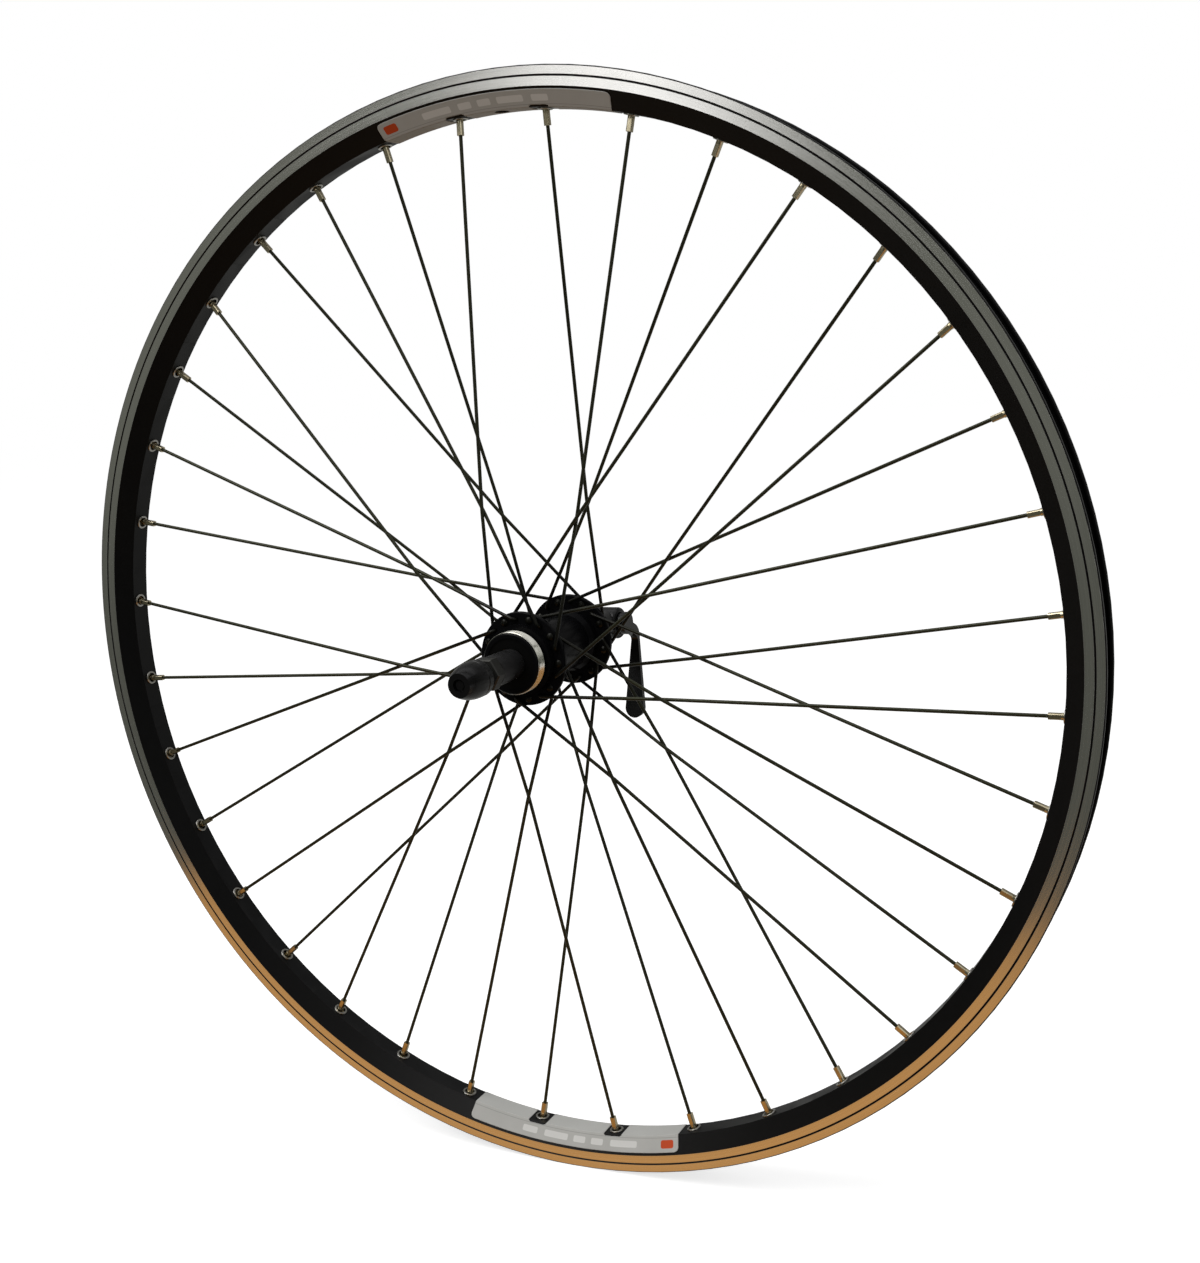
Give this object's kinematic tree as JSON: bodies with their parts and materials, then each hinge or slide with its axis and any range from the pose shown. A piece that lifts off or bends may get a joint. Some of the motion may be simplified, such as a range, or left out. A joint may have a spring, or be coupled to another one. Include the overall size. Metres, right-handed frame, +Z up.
{
  "type": "bicycle rear wheel",
  "caption": "Spoked rear bicycle wheel without tyre: hollow rim with brake tracks, crossed spokes, flanged hub threaded for a freewheel, and a quick-release skewer.",
  "frame": {"origin": "where the axle's centre line meets the rim's middle plane", "axes": "+Y along the axle to the lever side, +Z up with the valve hole on top, -Y the chain side"},
  "size_m": [0.635, 0.1948, 0.635],
  "materials": {
    "rim_black": "black anodised, brake tracks turned bright",
    "eyelet_steel": "bright plated",
    "nipple_brass": "nickel plated",
    "spoke_black": "black oxide",
    "hub_black": "black anodised, thread bright",
    "cap_black": "black",
    "dark_steel": "black zinc",
    "bright_steel": "ground",
    "skewer_black": "satin black"
  },
  "bodies": {
    "axle_set": {"hollow_axle": "dark_steel", "right_bearing_cone": "dark_steel", "right_axle_spacer": "dark_steel", "right_locknut": "dark_steel", "left_bearing_cone": "dark_steel", "left_axle_spacer": "dark_steel", "left_locknut": "dark_steel"},
    "wheel": {"rim": "rim_black", "rim_eyelets": "eyelet_steel", "spoke_nipples": "nipple_brass", "hub_shell": "hub_black", "right_spoke_01": "spoke_black", "right_spoke_02": "spoke_black", "right_spoke_03": "spoke_black", "right_spoke_04": "spoke_black", "right_spoke_05": "spoke_black", "right_spoke_06": "spoke_black", "right_spoke_07": "spoke_black", "right_spoke_08": "spoke_black", "right_spoke_09": "spoke_black", "right_spoke_10": "spoke_black", "right_spoke_11": "spoke_black", "right_spoke_12": "spoke_black", "right_spoke_13": "spoke_black", "right_spoke_14": "spoke_black", "right_spoke_15": "spoke_black", "right_spoke_16": "spoke_black", "right_spoke_17": "spoke_black", "right_spoke_18": "spoke_black", "left_spoke_01": "spoke_black", "left_spoke_02": "spoke_black", "left_spoke_03": "spoke_black", "left_spoke_04": "spoke_black", "left_spoke_05": "spoke_black", "left_spoke_06": "spoke_black", "left_spoke_07": "spoke_black", "left_spoke_08": "spoke_black", "left_spoke_09": "spoke_black", "left_spoke_10": "spoke_black", "left_spoke_11": "spoke_black", "left_spoke_12": "spoke_black", "left_spoke_13": "spoke_black", "left_spoke_14": "spoke_black", "left_spoke_15": "spoke_black", "left_spoke_16": "spoke_black", "left_spoke_17": "spoke_black", "left_spoke_18": "spoke_black", "right_bearing_cup": "bright_steel", "right_dust_cap": "cap_black", "left_bearing_cup": "bright_steel", "left_dust_cap": "cap_black"},
    "right_balls": {"right_bearing_balls": "bright_steel"},
    "left_balls": {"left_bearing_balls": "bright_steel"},
    "cam_body": {"cam_housing": "skewer_black"},
    "lever": {"cam_lever": "skewer_black"},
    "skewer": {"skewer_rod": "bright_steel"},
    "nut": {"skewer_nut": "skewer_black"}
  },
  "joints": [
    {"name": "wheel_spin", "type": "hinge", "parent": "axle_set", "child": "wheel", "pos_m": [0, 0, 0], "axis": [0, 1, 0], "continuous": true},
    {"name": "right_ball_roll", "type": "hinge", "parent": "axle_set", "child": "right_balls", "pos_m": [0, 0, 0], "axis": [0, 1, 0], "continuous": true},
    {"name": "left_ball_roll", "type": "hinge", "parent": "axle_set", "child": "left_balls", "pos_m": [0, 0, 0], "axis": [0, 1, 0], "continuous": true},
    {"name": "skewer_turn", "type": "hinge", "parent": "axle_set", "child": "cam_body", "pos_m": [0, 0, 0], "axis": [0, 1, 0], "continuous": true},
    {"name": "lever_swing", "type": "hinge", "parent": "cam_body", "child": "lever", "pos_m": [0, 0.0865, 0], "axis": [1, 0, 0], "range_deg": [0, 150]},
    {"name": "skewer_pull", "type": "slide", "parent": "cam_body", "child": "skewer", "axis": [0, -1, 0], "range_m": [0, 0.00187]},
    {"name": "nut_turn", "type": "hinge", "parent": "skewer", "child": "nut", "pos_m": [0, 0, 0], "axis": [0, 1, 0], "continuous": true}
  ],
  "couplings": [
    {"joint": "right_ball_roll", "follows": "wheel_spin", "ratio": 0.6101},
    {"joint": "left_ball_roll", "follows": "wheel_spin", "ratio": 0.6101},
    {"joint": "skewer_pull", "follows": "lever_swing", "m_per_rad": 0.0007143}
  ]
}
